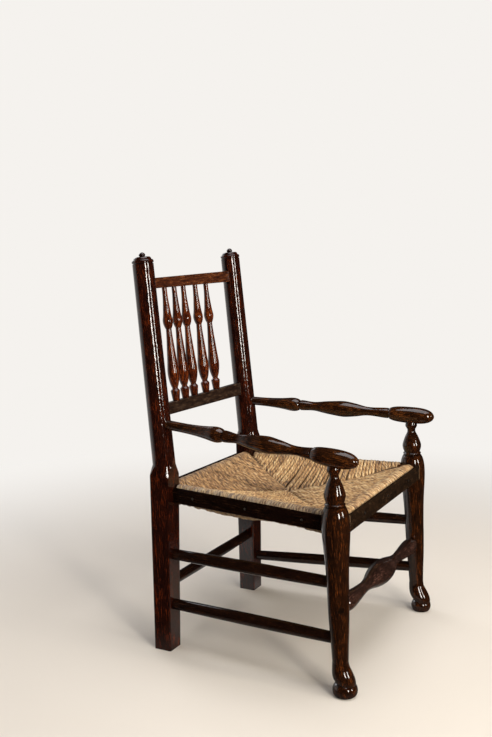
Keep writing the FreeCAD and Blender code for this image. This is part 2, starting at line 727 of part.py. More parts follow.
def plug_line(side):
    """The inner end of the plug's socket, and a point outside the leg that the plug faces."""
    turn = math.radians(PLUG_TURN)
    outward = V(SIDES[side] * math.cos(turn), -math.sin(turn), 0)
    on_axis = leg_axis(side, PLUG_Z)
    return on_axis + outward * PLUG_INNER_END, on_axis + outward * LEG_MAX_DIA


# The groups of pieces. Uprights are kept by (side, end): the posts stand at the back, the legs at
# the front. Coping holds the uprights' shapes grown by the shoulder gap, to cut the members to.

def drill_uprights(uprights, start, end, dia):
    """Drill a member's two sockets, each in the upright that its end stands in."""
    middle = (start + end) * 0.5
    for tenon_end in (start, end):
        place = ("right" if tenon_end.x < 0 else "left", "back" if tenon_end.y > LEG_TOP_Y / 2 else "front")
        uprights[place] = cut_socket(uprights[place], middle, tenon_end, dia)


def make_back(uprights):
    nodes = {}
    shafts = [post_shaft(side, SHOULDER_GAP) for side in SIDES]
    for name, bottoms, tops in (("top_back_rail", TOP_RAIL_BOTTOM, TOP_RAIL_TOP),
                                ("lower_back_rail", LOWER_RAIL_BOTTOM, LOWER_RAIL_TOP)):
        nodes[name], mortise = back_rail(bottoms, tops, shafts)
        for side in SIDES:
            uprights[side, "back"] = cut_away(uprights[side, "back"], mortise)
    for index, x in enumerate(SPINDLE_X, start=1):
        body, foot, head, (low_end, high_end) = spindle(x)
        middle = (foot + head) * 0.5
        nodes["lower_back_rail"] = cut_socket(nodes["lower_back_rail"], middle, low_end, SPINDLE_TENON_DIA)
        nodes["top_back_rail"] = cut_socket(nodes["top_back_rail"], middle, high_end, SPINDLE_TENON_DIA)
        nodes["back_spindle_%d" % index] = add_tenon(body, low_end, high_end, SPINDLE_TENON_DIA)
    return nodes


def make_stretchers(uprights, coping):
    nodes = {}
    for name, (start, end) in stretcher_lines().items():
        body = fit_between(stretcher_body(name, start, end), coping)
        nodes[name] = add_tenon(body, start, end, STRETCHER_TENON_DIA)
        drill_uprights(uprights, start, end, STRETCHER_TENON_DIA)
    return nodes


def make_seat(uprights, coping):
    """The four rails, the rush round them, and the edging strips with their nails."""
    rails = {}
    tenons = seat_tenon_lines()
    seat = rush_seat()
    for name, line in seat_rail_lines().items():
        rail = fit_between(seat_bar(*line), coping)
        rails[name] = add_tenon(rail, *tenons[name], SEAT_TENON_DIA)
        drill_uprights(uprights, *tenons[name], SEAT_TENON_DIA)
        seat = cut_away(seat, seat_bar(*line, RUSH_GAP))
    for side in SIDES:
        seat = cut_away(seat, post_square(side, RUSH_GAP))
        seat = cut_away(seat, bare_leg(side, RUSH_GAP))
    strips = edging_strips(coping)
    nails = []
    for name, head, outward in nail_places():
        mouth, tip = head + outward, head - outward * NAIL_LENGTH
        strips[name] = cut_socket(strips[name], mouth, tip, NAIL_SHANK_DIA)
        rails[name] = cut_socket(rails[name], mouth, tip, NAIL_SHANK_DIA)
        seat = cut_away(seat, rod(mouth, tip, NAIL_SHANK_DIA + 2 * RUSH_GAP))
        nails.append(nail(head, outward))
    nodes = {"seat_rail_" + name: rail for name, rail in rails.items()}
    nodes.update({"edging_" + name: strip for name, strip in strips.items()})
    nodes["rush_seat"] = seat
    nodes["edging_nails"] = Part.makeCompound(nails)
    return nodes


def make_arms(uprights):
    """The arms, let into the posts, and the supports' tenons up into them."""
    nodes = {}
    for side in SIDES:
        start, tip = arm_start(side), arm_tip(side)
        arm = fit_between(bare_arm(side), [post_shaft(side, SHOULDER_GAP)])
        into_arm = start + (tip - start).normalize() * POST_ROUND_DIA
        arm = add_tenon(arm, start, into_arm, ARM_TENON_DIA)
        uprights[side, "back"] = cut_socket(uprights[side, "back"], tip, start, ARM_TENON_DIA)
        top, below = leg_top(side), leg_axis(side, LEG_RING_Z)
        support = cut_away(uprights[side, "front"], bare_arm(side, SHOULDER_GAP))
        uprights[side, "front"] = add_tenon(support, below, top, SUPPORT_TENON_DIA)
        nodes["arm_" + side] = cut_socket(arm, below, top, SUPPORT_TENON_DIA)
    return nodes


def build():
    uprights, coping = {}, []
    for side in SIDES:
        uprights[side, "back"] = bare_post(side)
        uprights[side, "front"] = bare_leg(side)
        coping += [post_square(side, SHOULDER_GAP), bare_leg(side, SHOULDER_GAP)]
    nodes = make_back(uprights)
    nodes.update(make_stretchers(uprights, coping))
    nodes.update(make_seat(uprights, coping))
    plug_in, plug_out = plug_line(PLUG_SIDE)
    peg = rod(plug_in, plug_out, PLUG_DIA).common(bare_leg(PLUG_SIDE, PLUG_PROUD))
    nodes["leg_plug"] = largest_solid(peg)
    leg = uprights[PLUG_SIDE, "front"]
    uprights[PLUG_SIDE, "front"] = cut_socket(leg, plug_out, plug_in, PLUG_DIA)
    nodes.update(make_arms(uprights))
    for side in SIDES:
        nodes["back_post_" + side] = uprights[side, "back"]
        nodes["front_leg_" + side] = uprights[side, "front"]
    return nodes


def place_on_origin(nodes):
    """Move every node so that the origin is under the middle of the whole chair's box."""
    box = FreeCAD.BoundBox()
    for shape in nodes.values():
        box.add(shape.optimalBoundingBox(False))
    shift = V(-(box.XMin + box.XMax) / 2, -(box.YMin + box.YMax) / 2, -box.ZMin)
    print("box %.2f x %.2f x %.2f, moved by %s" % (box.XLength, box.YLength, box.ZLength, tuple(shift)))
    return {name: shape.translated(shift) for name, shape in nodes.items()}


def main():
    os.makedirs("parts", exist_ok=True)
    for name, shape in place_on_origin(build()).items():
        shape.exportStep("parts/" + name + ".step")
        print("%-28s solids %d, valid %s, volume %.0f" % (
            name, len(shape.Solids), shape.isValid(), shape.Volume))


main()
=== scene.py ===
import logging
import math
import random
from collections.abc import Sequence
from dataclasses import dataclass, field
from enum import Enum

import bmesh
import bpy
import numpy as np
from bmesh.types import BMesh, BMVert
from bpy.types import (
    Material, Mesh, Node, NodeSocket, NodeTree, Object, bpy_prop_collection)
from mathutils import Euler, Matrix, Vector, geometry


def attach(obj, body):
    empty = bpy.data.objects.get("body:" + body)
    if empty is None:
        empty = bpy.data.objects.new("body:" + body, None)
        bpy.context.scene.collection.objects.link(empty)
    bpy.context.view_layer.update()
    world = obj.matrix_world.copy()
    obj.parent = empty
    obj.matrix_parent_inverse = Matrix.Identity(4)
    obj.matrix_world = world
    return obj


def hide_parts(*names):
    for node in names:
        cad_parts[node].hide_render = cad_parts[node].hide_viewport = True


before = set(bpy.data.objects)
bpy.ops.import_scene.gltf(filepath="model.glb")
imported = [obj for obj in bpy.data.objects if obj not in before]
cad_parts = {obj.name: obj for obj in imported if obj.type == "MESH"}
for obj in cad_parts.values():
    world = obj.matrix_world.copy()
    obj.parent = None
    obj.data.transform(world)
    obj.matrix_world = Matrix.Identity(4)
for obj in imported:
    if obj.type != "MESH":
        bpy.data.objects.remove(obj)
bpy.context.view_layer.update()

# A child's spindle-back armchair with a rush seat. Sizes are in millimetres where a name or comment
# says so, and in metres where Blender takes them. The sitter looks along -Y, and right and left are
# the sitter's own.

MM = 0.001
BODY = "root"
RUSH_NODE = "rush_seat"
NAILS_NODE = "edging_nails"
UV_MAP = "UVMap"
Line = tuple[tuple[float, float], ...]
Point = tuple[float, float, float]
log = logging.getLogger("chair")


def linear(hex_colour: str) -> tuple[float, float, float, float]:
    """Turn an sRGB hex colour into Blender's linear colour.

    Args:
        hex_colour: Six hex digits after a hash sign.

    Returns:
        Linear red, green, blue and an alpha of one.
    """
    channels = []
    for start in (1, 3, 5):
        value = int(hex_colour[start:start + 2], 16) / 255
        channels.append(value / 12.92 if value <= 0.04045 else ((value + 0.055) / 1.055) ** 2.4)
    return (*channels, 1.0)


def add_node(tree: NodeTree, kind: str, settings: dict | None = None,
             links: dict | None = None) -> Node:
    """Add a shader node with its settings and the links that end in it.

    Args:
        tree: The node tree of a material or world.
        kind: What follows "ShaderNode" in the node's type name.
        settings: Properties by name, and input values by socket name or number.
        links: The sockets that feed its inputs, by input name or number.

    Returns:
        The new node.
    """
    node = tree.nodes.new("ShaderNode" + kind)
    for key, value in (settings or {}).items():
        if isinstance(key, str) and hasattr(node, key) and key not in node.inputs:
            setattr(node, key, value)
        else:
            node.inputs[key].default_value = value
    for key, socket in (links or {}).items():
        tree.links.new(socket, node.inputs[key])
    return node


def new_material(name: str) -> tuple[Material, NodeTree, Node]:
    """Make a node material that holds only its output.

    Args:
        name: The material's name.

    Returns:
        The material, its node tree and its output node.
    """
    material = bpy.data.materials.new(name)
    material.use_nodes = True
    tree = material.node_tree
    tree.nodes.clear()
    return material, tree, add_node(tree, "OutputMaterial")


def colour_ramp(tree: NodeTree, factor: NodeSocket,
                stops: Sequence[tuple[float, str]]) -> NodeSocket:
    """Blend several colours along a factor.

    Args:
        tree: The material's nodes.
        factor: The socket that drives the ramp.
        stops: Position and hex colour of each stop, in order.

    Returns:
        The ramp's colour socket.
    """
    ramp = add_node(tree, "ValToRGB", links={"Fac": factor})
    elements = ramp.color_ramp.elements
    while len(elements) < len(stops):
        elements.new(0.5)
    for element, (position, colour) in zip(elements, stops):
        element.position = position
        element.color = linear(colour)
    return ramp.outputs["Color"]


def put_on(piece: Object, material: Material) -> None:
    """Give a piece one material for all its faces.

    Args:
        piece: The object to dress.
        material: Its material.
    """
    piece.data.materials.clear()
    piece.data.materials.append(material)


def lay_grid(bm: BMesh, rings: np.ndarray) -> list[BMVert]:
    """Add a grid and lay it over rings of points. UVs run from 0 to 1 along and across it.

    Args:
        bm: The mesh to add to.
        rings: Points in mm, by ring, place in the ring and axis.

    Returns:
        The new vertices.
    """
    long_way, round_way = rings.shape[0] - 1, rings.shape[1] - 1
    made = bmesh.ops.create_grid(bm, x_segments=long_way, y_segments=round_way, size=0.5,
                                 calc_uvs=True)
    for vertex in made["verts"]:
        ring = round((vertex.co.x + 0.5) * long_way)
        turn = round((vertex.co.y + 0.5) * round_way)
        vertex.co = rings[ring, turn] * MM
    return made["verts"]


def close_up(bm: BMesh) -> None:
    """Merge doubled vertices, close the open ends and turn the normals outward.

    Args:
        bm: The mesh to close.
    """
    bmesh.ops.remove_doubles(bm, verts=bm.verts, dist=1e-6)
    bmesh.ops.holes_fill(bm, edges=[edge for edge in bm.edges if edge.is_boundary], sides=0)
    bmesh.ops.recalc_face_normals(bm, faces=bm.faces)


def new_piece(bm: BMesh, name: str) -> Object:
    """Turn a mesh under construction into an object of the scene.

    Args:
        bm: The mesh, which is freed.
        name: The name of the object and its mesh.

    Returns:
        The object, at the origin.
    """
    mesh = bpy.data.meshes.new(name)
    bm.to_mesh(mesh)
    bm.free()
    piece = bpy.data.objects.new(name, mesh)
    bpy.context.scene.collection.objects.link(piece)
    return piece


@dataclass(frozen=True)
class Grain:
    """The line that a piece's grain runs along, in metres."""

    middle: Vector
    direction: Vector

    @classmethod
    def of(cls, piece: Object) -> "Grain":
        """Take the grain along the longest spread of a piece's mesh.

        Args:
            piece: An object with a mesh.

        Returns:
            The grain through the mesh's middle.
        """
        points = np.empty(len(piece.data.vertices) * 3)
        piece.data.vertices.foreach_get("co", points)
        points = points.reshape(-1, 3)
        middle = (points.min(0) + points.max(0)) / 2
        spread = np.linalg.eigh(np.cov((points - middle).T))[1][:, -1]
        return cls(Vector(middle), Vector(spread))


@dataclass(frozen=True)
class StainedWood:
    """Ash turned or split, stained nearly black, then waxed and handled for years.

    The eye gets three things from it: a dark reddish body, orange-brown where the stain has worn
    thin along the grain, and a clear wax gloss whose highlights are broken by small dents.
    """

    name: str
    deep: str
    body: str
    worn: str
    wear: float
    roughness: float
    wax: float
    specular: float = 0.0
    streak_mm: float = 1.6
    dent_depth_mm: float = 0.2
    edge_wear: float = 0.6
    edge_mm: float = 1.6
    ring_mm: float = 2.6
    # Real pores are about 0.3 mm wide, and are drawn wider so that they show
    pore_mm: float = 0.7
    pore_depth_mm: float = 0.1
    dent_mm: float = 5.0
    patch_mm: float = 9.0
    # How far the occlusion looks for grooves and joints, which are darkened as old wax and painted
    # shade
    wax_and_shade_mm: float = 6.0
    # The grain strays from its line by this much, in waves of this many to the metre
    stray_mm: float = 6.0
    stray_waves: float = 14.0
    # How much shorter the pattern's waves are along the grain than across it, drawn and patched
    drawn: float = 0.14
    patched: float = 0.3
    ring_share: float = 0.10
    patch_share: float = 0.5
    # Where wear starts and is complete on the summed pattern, and what wear of 1 takes off both
    wear_span: tuple[float, float] = (0.69, 1.22)
    wear_gain: float = 0.3
    body_at: float = 0.45
    # How much open pores darken the wood and dull its gloss
    pore_effect: float = 0.6
    # How far grooves and joints go toward the deep colour, as old wax and painted shade
    wax_and_shade_dark: float = 0.9
    gloss_span: tuple[float, float] = (-0.07, 0.14)
    wax_roughness: float = 0.07
    wax_ior: float = 1.5

    def lay_grain(self, tree: NodeTree, grain: Grain, seed: int) -> tuple[NodeSocket, NodeSocket]:
        """Turn the pattern's space so that its Z runs along the grain.

        Args:
            tree: The material's nodes.
            grain: The line of the piece's grain.
            seed: Moves the pattern.

        Returns:
            The place along the grain, and the same with the grain's strays.
        """
        turn = grain.direction.rotation_difference(Vector((0, 0, 1))).to_matrix()
        # The tree's heart, in mm, lies outside the piece, so the rings cross it as long arcs
        heart = Vector((31 + 4 * (seed % 5), 12 * (seed % 3), 370 * seed)) * MM
        along = add_node(tree, "Mapping", {
            "Rotation": turn.to_euler(), "Location": heart - turn @ grain.middle}, {
            "Vector": add_node(tree, "TexCoord").outputs["Object"]}).outputs["Vector"]
        waves = add_node(tree, "TexNoise", {"Scale": self.stray_waves, "Detail": 2.0},
                         {"Vector": along}).outputs["Color"]
        stray = self.stray_mm * MM
        strayed = add_node(tree, "VectorMath", {
            "operation": "MULTIPLY_ADD", 1: (stray, stray, 0.0)}, {0: waves, 2: along})
        return along, strayed.outputs["Vector"]

    def wear_pattern(self, tree: NodeTree, strayed: NodeSocket, drawn: NodeSocket) -> NodeSocket:
        """Where the stain has worn through: along rings and streaks, in patches, on edges.

        Args:
            tree: The material's nodes.
            strayed: The place along the straying grain.
            drawn: The same, drawn out along the grain.

        Returns:
            The wear, from 0 to 1.
        """
        # At scale 1 a wave texture's rings are tau / 20 apart
        rings = add_node(tree, "TexWave", {
            "wave_type": "RINGS", "rings_direction": "Z",
            "Scale": math.tau / 20 / (self.ring_mm * MM), "Distortion": 3.0, "Detail": 2.0,
            "Detail Scale": 60.0}, {"Vector": drawn}).outputs["Fac"]
        streaks = add_node(tree, "TexNoise", {
            "Scale": 1 / (self.streak_mm * MM), "Detail": 4.0, "Roughness": 0.65},
            {"Vector": drawn}).outputs["Fac"]
        patches = add_node(tree, "TexNoise", {
            "Scale": 1 / (self.patch_mm * MM), "Detail": 3.0, "Roughness": 0.6}, {
            "Vector": add_node(tree, "Mapping", {"Scale": (1.0, 1.0, self.patched)},
                               {"Vector": strayed}).outputs["Vector"]}).outputs["Fac"]
        streaked = add_node(tree, "Math", {"operation": "MULTIPLY", 1: 1 - self.ring_share},
                            {0: streaks}).outputs["Value"]
        figure = add_node(tree, "Math", {"operation": "MULTIPLY_ADD", 1: self.ring_share},
                          {0: rings, 2: streaked}).outputs["Value"]
        summed = add_node(tree, "Math", {"operation": "MULTIPLY_ADD", 1: self.patch_share},
                          {0: patches, 2: figure}).outputs["Value"]
        start, complete = (end - self.wear_gain * self.wear for end in self.wear_span)
        worn = add_node(tree, "MapRange", {"From Min": start, "From Max": complete},
                        {"Value": summed}).outputs["Result"]
        edges = add_node(tree, "AmbientOcclusion", {
            "samples": 4, "inside": True, "only_local": True,
            "Distance": self.edge_mm * MM}).outputs["AO"]
        rubbed = add_node(tree, "MapRange", {
            "From Min": 0.80, "From Max": 0.45, "To Max": self.edge_wear},
            {"Value": edges}).outputs["Result"]
        return add_node(tree, "Math", {"operation": "MAXIMUM"},
                        {0: worn, 1: rubbed}).outputs["Value"]

    def stain(self, tree: NodeTree, worn: NodeSocket, pores: NodeSocket) -> NodeSocket:
        """The wood's colour, darkest in its pores, and in grooves and where pieces meet, as old wax
        and painted shade.

        Args:
            tree: The material's nodes.
            worn: The wear.
            pores: The open pores.

        Returns:
            The colour.
        """
        stained = colour_ramp(tree, worn, (
            (0.0, self.deep), (self.body_at, self.body), (1.0, self.worn)))
        # Ambient occlusion darkens grooves and places where pieces meet: partly old wax, partly
        # painted shade
        occlusion = add_node(tree, "AmbientOcclusion", {
            "samples": 4, "Distance": self.wax_and_shade_mm * MM}).outputs["AO"]
        wax_and_painted_shade = add_node(tree, "MapRange", {
            "From Min": 0.85, "From Max": 0.45, "To Max": self.wax_and_shade_dark},
            {"Value": occlusion}).outputs["Result"]
        in_pores = add_node(tree, "Math", {"operation": "MULTIPLY", 1: self.pore_effect},
                            {0: pores}).outputs["Value"]
        darkened = add_node(tree, "Math", {"operation": "MAXIMUM"},
                            {0: wax_and_painted_shade, 1: in_pores}).outputs["Value"]
        return add_node(tree, "Mix", {"data_type": "RGBA", 7: linear(self.deep)},
                        {0: darkened, 6: stained}).outputs[2]

    def dress(self, piece: Object, grain: Grain, seed: int) -> None:
        """Make this wood for one piece and put it on.

        Args:
            piece: The object to dress.
            grain: The line of its grain.
            seed: Moves the pattern, so that no two pieces match.
        """
        material, tree, output = new_material(f"{self.name}_{piece.name}")
        along, strayed = self.lay_grain(tree, grain, seed)
        drawn = add_node(tree, "Mapping", {"Scale": (1.0, 1.0, self.drawn)},
                         {"Vector": strayed}).outputs["Vector"]
        pores = add_node(tree, "MapRange", {"From Min": 0.52, "From Max": 0.68}, {
            "Value": add_node(tree, "TexNoise", {"Scale": 1 / (self.pore_mm * MM), "Detail": 2.0},
                              {"Vector": drawn}).outputs["Fac"]}).outputs["Result"]
        dents = add_node(tree, "TexNoise", {"Scale": 1 / (self.dent_mm * MM), "Detail": 3.0},
                         {"Vector": along}).outputs["Fac"]
        uneven = add_node(tree, "Math", {"operation": "MULTIPLY_ADD", 1: self.pore_effect},
                          {0: pores, 2: dents}).outputs["Value"]
        smoothest, roughest = (self.roughness + change for change in self.gloss_span)
        roughness = add_node(tree, "MapRange", {"To Min": smoothest, "To Max": roughest},
                             {"Value": uneven}).outputs["Result"]
        dented = add_node(tree, "Bump", {
            "Strength": 1.0, "Distance": self.dent_depth_mm * MM},
            {"Height": dents}).outputs["Normal"]
        pored = add_node(tree, "Bump", {
            "Strength": 0.3, "Distance": self.pore_depth_mm * MM, "invert": True},
            {"Height": pores, "Normal": dented}).outputs["Normal"]
        colour = self.stain(tree, self.wear_pattern(tree, strayed, drawn), pores)
        surface = add_node(tree, "BsdfPrincipled", {
            "IOR": 1.5, "Specular IOR Level": self.specular, "Coat Weight": self.wax,
            "Coat Roughness": self.wax_roughness, "Coat IOR": self.wax_ior}, {
            "Base Color": colour, "Roughness": roughness, "Normal": pored, "Coat Normal": dented})
        tree.links.new(surface.outputs["BSDF"], output.inputs["Surface"])
        put_on(piece, material)


@dataclass(frozen=True)
class TwistedRush:
    """Rush leaves twisted into cords: straw-gold and matt, and dull grey where rubbed.

    Each cord has its own tone, and its leaves lie slantwise round it as short pale and dark
    streaks. The underside, never rubbed, is a dusty brown, darkened further as painted shade.
    """

    name: str = "twisted_rush"
    gold: str = "#bb8f58"
    pale: str = "#e8cd9c"
    brown: str = "#8a643e"
    dark: str = "#422d1b"
    grey: str = "#a8957f"
    dark_grey: str = "#584738"
    # The underside's colour: dust brown, darkened as painted shade
    under: str = "#302115"
    leaf_mm: float = 1.7
    # Real fibres are finer, and are drawn this wide so that they show
    fibre_mm: float = 0.8
    # How much shorter the waves are along the leaves than across them
    leaf_drawn: float = 0.10
    fibre_drawn: float = 0.06
    slant: float = 22.0
    leaf_share: float = 0.75
    fibre_share: float = 0.4
    tone_share: float = 0.10
    # How far the underside goes to its colour, as dust and painted shade
    dust_and_shade: float = 0.85
    relief_mm: float = 0.9

    def make(self) -> Material:
        """Make the rush. It reads the cords' UV map, in metres, and their weave attribute.

        Returns:
            The new material.
        """
        material, tree, output = new_material(self.name)
        weave = add_node(tree, "SeparateXYZ", links={"Vector": add_node(
            tree, "Attribute", {"attribute_name": "weave"}).outputs["Vector"]}).outputs
        tone, rubbed, below = weave["X"], weave["Y"], weave["Z"]
        slanted = add_node(tree, "Mapping", {"Rotation": (0.0, 0.0, -math.radians(self.slant))}, {
            "Vector": add_node(tree, "UVMap", {"uv_map": UV_MAP}).outputs["UV"]}).outputs["Vector"]
        leaves, fibres = (
            add_node(tree, "TexNoise", {"Scale": 1 / (width * MM), "Detail": detail}, {
                "Vector": add_node(tree, "Mapping", {"Scale": (drawn, 1.0, 1.0)},
                                   {"Vector": slanted}).outputs["Vector"]}).outputs["Fac"]
            for width, drawn, detail in ((self.leaf_mm, self.leaf_drawn, 1.0),
                                         (self.fibre_mm, self.fibre_drawn, 2.0)))
        fine = add_node(tree, "Math", {"operation": "MULTIPLY", 1: self.fibre_share},
                        {0: fibres}).outputs["Value"]
        strands = add_node(tree, "Math", {"operation": "MULTIPLY_ADD", 1: self.leaf_share},
                           {0: leaves, 2: fine}).outputs["Value"]
        mixed = add_node(tree, "Math", {"operation": "MULTIPLY_ADD", 1: self.tone_share},
                         {0: tone, 2: strands}).outputs["Value"]
        straw = colour_ramp(tree, mixed, (
            (0.46, self.dark), (0.56, self.brown), (0.66, self.gold), (0.80, self.pale)))
        dulled = colour_ramp(tree, mixed, ((0.48, self.dark_grey), (0.78, self.grey)))
        worn = add_node(tree, "Mix", {"data_type": "RGBA"},
                        {0: rubbed, 6: straw, 7: dulled}).outputs[2]
        # Below the frame: dust and painted shade, deepest near the rails
        dust_and_shade_share = add_node(tree, "Math", {"operation": "MULTIPLY", 1: self.dust_and_shade},
                           {0: below}).outputs["Value"]
        dusted_and_shaded = add_node(tree, "Mix", {"data_type": "RGBA", 7: linear(self.under)},
                         {0: dust_and_shade_share, 6: worn}).outputs[2]
        relief = add_node(tree, "Bump", {"Strength": 0.8, "Distance": self.relief_mm * MM},
                          {"Height": strands})
        surface = add_node(tree, "BsdfPrincipled", {
            "Roughness": 0.62, "IOR": 1.45, "Sheen Weight": 0.06, "Sheen Roughness": 0.5}, {
            "Base Color": dusted_and_shaded, "Normal": relief.outputs["Normal"]})
        tree.links.new(surface.outputs["BSDF"], output.inputs["Surface"])
        return material


@dataclass(frozen=True)
class MottledMatter:
    """A plain material, mottled in two tones with a little relief."""

    name: str
    dark: str
    light: str
    grain_mm: float
    relief_mm: float
    relief: float
    roughness: float
    metallic: float = 0.0

    def make(self) -> Material:
        """Make the material.

        Returns:
            The new material.
        """
        material, tree, output = new_material(self.name)
        mottle = add_node(tree, "TexNoise", {"Scale": 1 / (self.grain_mm * MM), "Detail": 3.0}, {
            "Vector": add_node(tree, "TexCoord").outputs["Object"]}).outputs["Fac"]
        bump = add_node(tree, "Bump", {"Strength": self.relief, "Distance": self.relief_mm * MM},
                        {"Height": mottle})
        surface = add_node(tree, "BsdfPrincipled", {
            "Metallic": self.metallic, "Roughness": self.roughness}, {
            "Base Color": colour_ramp(tree, mottle, ((0.35, self.dark), (0.65, self.light))),
            "Normal": bump.outputs["Normal"]})
        tree.links.new(surface.outputs["BSDF"], output.inputs["Surface"])
        return material


class Matter(Enum):
    """The plain materials, with what each gives the eye."""

    # Broken rush packed between top and underside: brown, seen only as depth between cords
    WASTE_RUSH = MottledMatter("packed_waste_rush", "#382615", "#765836", 3.0, 1.0, 1.0, 0.85)
    # Hand-cut nail heads: dull grey iron, with a small glint on the hammered top
    IRON = MottledMatter("forged_iron", "#3a332e", "#7d766e", 1 / 0.9, 0.1, 0.5, 0.42, 1.0)


class Finish(Enum):
    """The chair's wood finishes: deep, body and worn colour, then wear, roughness and wax."""

    # Near-black red, with bright red-brown flecks and the deepest dents, under thick wax
    POST = StainedWood("waxed_ash_post", "#0b0302", "#2a0e06", "#762e0c", 0.38, 0.28, 0.95,
                       dent_depth_mm=0.24)
    # Redder and paler than the posts, and smooth enough for clear spots of light
    SPINDLE = StainedWood("polished_ash_spindle", "#0c0301", "#42190a", "#96481a", 0.52, 0.22,
                          0.95, dent_depth_mm=0.08)
    # Warm brown and nearly matt, with broad pale streaks
    TOP_RAIL = StainedWood("rubbed_ash_rail", "#180804", "#46200d", "#8a552f", 0.48, 0.42, 0.35,
                           specular=0.15, streak_mm=2.4)
    # Grey-brown and nearly matt
    LOWER_RAIL = StainedWood("stained_ash_rail", "#0e0704", "#2b1b11", "#65513e", 0.45, 0.42,
                             0.4, specular=0.15, streak_mm=2.4)
    # Dark brown, with a long soft gloss where hands have polished it
    ARM = StainedWood("handled_ash_arm", "#0c0502", "#2d1608", "#744018", 0.45, 0.26, 0.95,
                      dent_depth_mm=0.12)
    # Dark brown, with orange-brown streaks down the leg
    LEG = StainedWood("waxed_ash_leg", "#0b0402", "#271206", "#6c3610", 0.38, 0.28, 0.95,
                      dent_depth_mm=0.15)
    # Nearly black, with few worn streaks
    STRETCHER = StainedWood("stained_ash_stretcher", "#0b0402", "#1e0e07", "#40220f", 0.38, 0.3,
                            0.7)
    # Greyish purple-brown, rubbed by feet
    FRONT_STRETCHER = StainedWood("rubbed_ash_stretcher", "#100805", "#2c1b15", "#614338", 0.46,
                                  0.28, 0.95)
    # Nearly black and dull, paler only at its sharp edges
    EDGING = StainedWood("stained_ash_edging", "#080302", "#190c06", "#4a3424", 0.22, 0.32, 0.35,
                         edge_wear=0.9)
    # Olive-brown, and paler along its rubbed edges
    FRONT_EDGING = StainedWood("rubbed_ash_edging", "#120b06", "#291b10", "#6d5a44", 0.12, 0.34,
                               0.35, edge_wear=1.0, edge_mm=2.2)
    # Darker than the leg round it, as end grain takes more stain
    PLUG = StainedWood("end_grain_plug", "#060302", "#120904", "#4a2c18", 0.25, 0.36, 0.5)
    # Plain brown and unwaxed, inside the rush
    HIDDEN = StainedWood("rough_ash_rail", "#2b1a10", "#4a2f1c", "#6d4a2e", 0.5, 0.6, 0.0)


class Twist(Enum):
    """Which way a cord's leaves turn round it, as the sign of their slant."""

    CLOCKWISE = 1
    ANTICLOCKWISE = -1


@dataclass(frozen=True)
class Panel:
    """One of the four sides of the rush, in mm and degrees."""

    name: str
    start: Vector
    end: Vector
    # Where the cords begin and end along the rim, and how they lean there
    first: float
    last: float
    lean_start: float
    lean_end: float
    cords: int
    twist: Twist
    # How worn its crest is, and how much paler it is than the others
    rubbed: float
    tone: float


@dataclass(frozen=True)
class Course:
    """The way of one cord: in from its foot on the rim, as far as a seam. In mm."""

    foot: Vector
    inward: Vector
    level: Vector
    run: float
    to_middle: float
    middle_height: float

    @property
    def gain(self) -> float:
        """How much nearer to the middle each mm along the cord comes."""
        return abs(self.inward.cross(self.level).z)

    def rim_share(self, distance: float) -> float:
        """How near a place on the cord is to the rim: 1 on it, and 0 level with the middle."""
        return 1 - distance * self.gain / self.to_middle

    def point(self, distance: float, rise: float) -> Vector:
        """A point of the cord.

        Args:
            distance: How far in from the rim it is.
            rise: How far above the seat frame it is.

        Returns:
            The point.
        """
        height = (self.middle_height
                  + (self.foot.z - self.middle_height) * self.rim_share(distance))
        return Vector((*(self.foot + self.inward * distance).xy, height + rise))

    def rise_at(self, line: Line, distance: float) -> float:
        """The height of a dished line at a distance in from the rim.

        Args:
            line: Share of the way to the rim, and height, for each of its points.
            distance: How far in from the rim.

        Returns:
            The height above the seat frame.
        """
        shares, rises = zip(*sorted(line))
        return float(np.interp(self.rim_share(distance), shares, rises))


